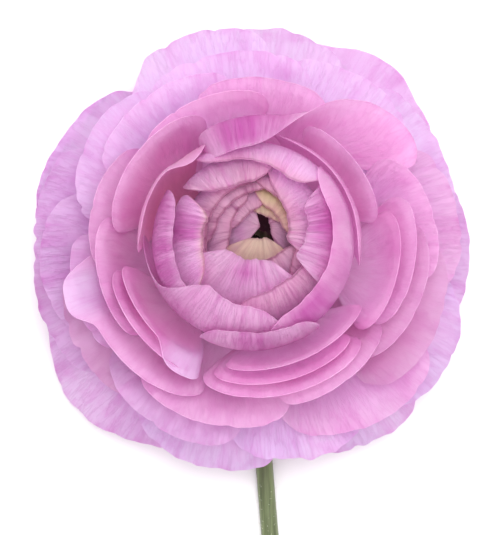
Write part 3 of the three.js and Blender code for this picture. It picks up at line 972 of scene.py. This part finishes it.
class RANUNCULUS_OT_folded_petals(Operator):
    """Add the petals that close over the ball"""

    bl_idname = "ranunculus.folded_petals"
    bl_label = "Folded Petals"

    def execute(self, context):
        build_ring("folded", "petal_inner")
        return {"FINISHED"}


class RANUNCULUS_OT_heart(Operator):
    """Add the innermost petals, round the eye"""

    bl_idname = "ranunculus.heart"
    bl_label = "Heart"

    def execute(self, context):
        ring = RINGS["heart"]
        blades = [
            petal_blade(f"heart_{i}", petal, ring, i) for i, petal in enumerate(ring.petals)
        ]
        material = petal_finish(
            "petal_heart", HEART_VEINS, HEART_GLOW, HEART_RELIEF * MM, HEART_SOLID_TO
        )
        place(joined(blades, "heart_blades"), ["heart"], material)
        return {"FINISHED"}


class RANUNCULUS_OT_carpels(Operator):
    """Add the head of carpels that shows in the eye"""

    bl_idname = "ranunculus.carpels"
    bl_label = "Carpels"

    def execute(self, context):
        sizes = context.scene.ranunculus_greens
        deselect()
        bpy.ops.mesh.primitive_uv_sphere_add(segments=20, ring_count=14, radius=1)
        core = bpy.context.object
        points = mesh_points(core)
        tall = CARPEL_TOP - CARPEL_FOOT
        up = (points[:, 2] + 1) / 2
        wide = CARPEL_RADIUS * CORE_WIDTH
        height = CARPEL_FOOT + up * tall * CORE_HEIGHT
        set_points(core, from_head(points[:, 0] * wide, points[:, 1] * wide, height))
        deselect()
        bpy.ops.mesh.primitive_ico_sphere_add(subdivisions=1, radius=CARPEL_GRAIN * MM)
        grain = bpy.context.object
        shape = mesh_points(grain) * CARPEL_SHAPE
        parts = [core]
        for i in range(CARPEL_COUNT):
            share = (i + 0.5) / CARPEL_COUNT
            radius = math.sqrt(1 - (2 * share - 1) ** 2) * wide
            turn = i * math.pi * (3 - math.sqrt(5))
            height = CARPEL_FOOT + share * tall * CARPEL_REACH + CARPEL_LIFT
            centre = from_head(radius * math.cos(turn), radius * math.sin(turn), height)
            one = copied(grain) if i else grain
            set_points(one, shape + centre)
            parts.append(one)
        head = joined(parts, "carpel_head")
        pick(head)
        bpy.ops.object.shade_smooth()
        material = carpel_finish("carpel_dark", sizes.carpel_colour)
        place(head, ["carpels"], material)
        return {"FINISHED"}


def stem_tube(radius):
    """The stem as a bevelled curve along its route, made a mesh."""
    deselect()
    bpy.ops.curve.primitive_bezier_curve_add()
    curve = bpy.context.object
    spline = curve.data.splines[0]
    spline.bezier_points.add(len(STEM_ROUTE) - 2)
    for point, (x, y, z) in zip(spline.bezier_points, STEM_ROUTE):
        point.co = Vector((FOOT[0] + x, FOOT[1] + y, z)) * MM
        point.handle_left_type = point.handle_right_type = "AUTO"
    curve.data.bevel_depth = radius
    curve.data.bevel_resolution = 6
    curve.data.resolution_u = 10
    curve.data.use_fill_caps = True
    bpy.ops.object.convert(target="MESH")
    return bpy.context.object


def receptacle_body():
    """The knob that carries the petals, extruded ring by ring from a disc."""
    deselect()
    radius, height = RECEPTACLE[0]
    bpy.ops.mesh.primitive_circle_add(
        vertices=32, radius=radius * MM, fill_type="NGON", location=(0, 0, 0)
    )
    knob = bpy.context.object
    bpy.ops.object.mode_set(mode="EDIT")
    bpy.ops.mesh.select_all(action="SELECT")
    for (old, low), (new, high) in zip(RECEPTACLE, RECEPTACLE[1:]):
        bpy.ops.mesh.extrude_region_move(
            TRANSFORM_OT_translate={"value": (0, 0, (high - low) * MM)}
        )
        bpy.ops.transform.resize(value=(new / old, new / old, 1))
    bpy.ops.object.mode_set(mode="OBJECT")
    points = mesh_points(knob) / MM
    set_points(knob, from_head(points[:, 0], points[:, 1], points[:, 2] + height))
    pick(knob)
    bpy.ops.object.mode_set(mode="EDIT")
    bpy.ops.mesh.select_all(action="SELECT")
    bpy.ops.mesh.normals_make_consistent(inside=False)
    bpy.ops.object.mode_set(mode="OBJECT")
    return knob


class RANUNCULUS_OT_stem(Operator):
    """Add the stem and the receptacle that it ends in"""

    bl_idname = "ranunculus.stem"
    bl_label = "Stem"

    def execute(self, context):
        sizes = context.scene.ranunculus_greens
        tube = stem_tube(sizes.stem_radius)
        stem = joined([tube, receptacle_body()], "stem_skin")
        finish_with(stem, "REMESH", mode="VOXEL", voxel_size=STEM_VOXEL * MM)
        finish_with(stem, "SMOOTH", factor=0.5, iterations=4)
        pick(stem)
        bpy.ops.object.shade_smooth()
        material = green_finish("stem_green", sizes.stem_colour, STEM_STREAKS)
        place(stem, ["stem"], material)
        hairs = stem_hairs(sizes.hairs, sizes.stem_radius)
        place(hairs, ["stem"], hair_finish(sizes.hair_colour))
        return {"FINISHED"}


def stem_hairs(count, stem_radius):
    """Fine hairs on the part of the stem that lies straight, slanting towards the bloom."""
    rng = np.random.default_rng(5)
    deselect()
    bpy.ops.mesh.primitive_cone_add(vertices=3, radius1=HAIR_RADIUS * MM, depth=MM)
    first = bpy.context.object
    shape = mesh_points(first) + (0, 0, 0.5 * MM)
    route = np.array(STEM_ROUTE[HAIRS_FROM:])
    hairs = []
    for i in range(count):
        at = rng.uniform(0, len(route) - 1.02)
        near, share = int(at), at % 1
        middle = route[near] * (1 - share) + route[near + 1] * share
        turn = rng.uniform(-HAIR_BELOW, math.pi + HAIR_BELOW)
        out = np.array((math.cos(turn), 0, math.sin(turn)))
        root = np.array((FOOT[0], FOOT[1], 0)) + middle + out * stem_radius / MM * HAIR_ROOT
        lean = Vector(out + (0, rng.uniform(0.1, 0.9), rng.uniform(-0.1, 0.1))).normalized()
        turned = np.array(lean.to_track_quat("Z", "Y").to_matrix())
        one = copied(first) if i else first
        set_points(one, shape * (1, 1, rng.uniform(0.5, 1.3)) @ turned.T + root * MM)
        hairs.append(one)
    return joined(hairs, "stem_hairs")


class RANUNCULUS_OT_calyx(Operator):
    """Add the sepals under the bloom"""

    bl_idname = "ranunculus.calyx"
    bl_label = "Calyx"

    def execute(self, context):
        sizes = context.scene.ranunculus_greens
        sepals = []
        for i, turn in enumerate(SEPAL_TURNS):
            piece, u, q = grid_piece(f"sepal_{i}", 12, 20)
            radius, height = (cubic(q, [point[axis] for point in SEPAL_LINE]) for axis in (0, 1))
            pointed = 0.95 * np.sqrt(np.clip(1 - q, 0, 1)) * (0.55 + 0.6 * q) + 0.05
            sideways = SEPAL_HALF_WIDTH * pointed * u
            height = height + SEPAL_ARCH * (1 - u * u) * q
            cos, sin = math.cos(math.radians(turn)), math.sin(math.radians(turn))
            x = radius * cos - sideways * sin
            y = radius * sin + sideways * cos
            set_points(piece, from_head(x, y, height))
            thicken(piece, SEPAL_THICKNESS * MM, SEPAL_RIM_SHARE, q)
            sepals.append(piece)
        calyx = joined(sepals, "calyx_sepals")
        material = green_finish("sepal_green", sizes.sepal_colour, SEPAL_STREAKS)
        place(calyx, ["calyx"], material)
        return {"FINISHED"}


class RANUNCULUS_OT_stage(Operator):
    """Add the pale floor, the soft light and the camera above the bloom"""

    bl_idname = "ranunculus.stage"
    bl_label = "Stage"

    def execute(self, context):
        sizes = context.scene.ranunculus_stage
        deselect()
        bpy.ops.mesh.primitive_plane_add(size=FLOOR_SIZE)
        floor = bpy.context.object
        floor.name = "floor"
        finish = Finish("floor_white")
        grain = finish.noise(finish.node("ShaderNodeTexCoord", output="Object"), 40)
        white = finish.surface((*sizes.floor_colour, 1), 0.9, grain, 0.02 * MM)
        floor.data.materials.append(white)

        centre = Vector((FOOT[0] * MM, FOOT[1] * MM, BLOOM_MIDDLE))
        bpy.ops.object.light_add(type="AREA", location=centre + Vector(KEY_PLACE))
        key = bpy.context.object
        key.name = "key_light"
        key.data.shape = "DISK"
        key.data.size = KEY_SIZE
        key.data.energy = sizes.key_power
        key.rotation_euler = (centre - key.location).to_track_quat("-Z", "Y").to_euler()

        world = bpy.data.worlds.new("studio")
        context.scene.world = world
        world.use_nodes = True
        surroundings = world.node_tree.nodes["Background"].inputs
        surroundings["Color"].default_value = (1, 1, 1, 1)
        surroundings["Strength"].default_value = sizes.fill

        above = Vector((FOOT[0] * MM, (FOOT[1] + CAMERA_AHEAD) * MM, sizes.camera_height))
        bpy.ops.object.camera_add(location=above, rotation=(0, 0, 0))
        camera = bpy.context.object
        camera.name = "camera"
        width, height = PHOTO_SIZE
        camera.data.sensor_width = SENSOR_WIDTH
        camera.data.lens = SENSOR_WIDTH * NEAR_MM * PIXELS_PER_MM / height
        camera.data.shift_x = (width / 2 - PHOTO_FOOT[0]) / height
        camera.data.shift_y = (PHOTO_FOOT[1] - height / 2) / height
        camera.data.clip_start = 0.01
        context.scene.camera = camera
        context.scene.view_settings.view_transform = "Standard"
        return {"FINISHED"}


OPERATORS = (
    RANUNCULUS_OT_outer_petals,
    RANUNCULUS_OT_spread_petals,
    RANUNCULUS_OT_cupped_petals,
    RANUNCULUS_OT_folded_petals,
    RANUNCULUS_OT_heart,
    RANUNCULUS_OT_carpels,
    RANUNCULUS_OT_stem,
    RANUNCULUS_OT_calyx,
    RANUNCULUS_OT_stage,
)


class RANUNCULUS_PT_panel(Panel):
    """The flower's pieces, in the order in which they are built"""

    bl_idname = "RANUNCULUS_PT_panel"
    bl_label = "Ranunculus"
    bl_space_type = "VIEW_3D"
    bl_region_type = "UI"
    bl_category = "Ranunculus"

    def draw(self, context):
        column = self.layout.column(align=True)
        for operator in OPERATORS:
            column.operator(operator.bl_idname)


SETTINGS = {
    "ranunculus_colours": PetalColours,
    "ranunculus_petals": PetalSizes,
    "ranunculus_greens": GreenSizes,
    "ranunculus_stage": StageSizes,
}
CLASSES = (*SETTINGS.values(), *OPERATORS, RANUNCULUS_PT_panel)


def register():
    for cls in CLASSES:
        bpy.utils.register_class(cls)
    for name, group in SETTINGS.items():
        setattr(bpy.types.Scene, name, PointerProperty(type=group))


def unregister():
    for name in SETTINGS:
        delattr(bpy.types.Scene, name)
    for cls in reversed(CLASSES):
        bpy.utils.unregister_class(cls)


def main():
    register()
    for operator in OPERATORS:
        group, name = operator.bl_idname.split(".")
        getattr(getattr(bpy.ops, group), name)()


if __name__ == "__main__":
    main()
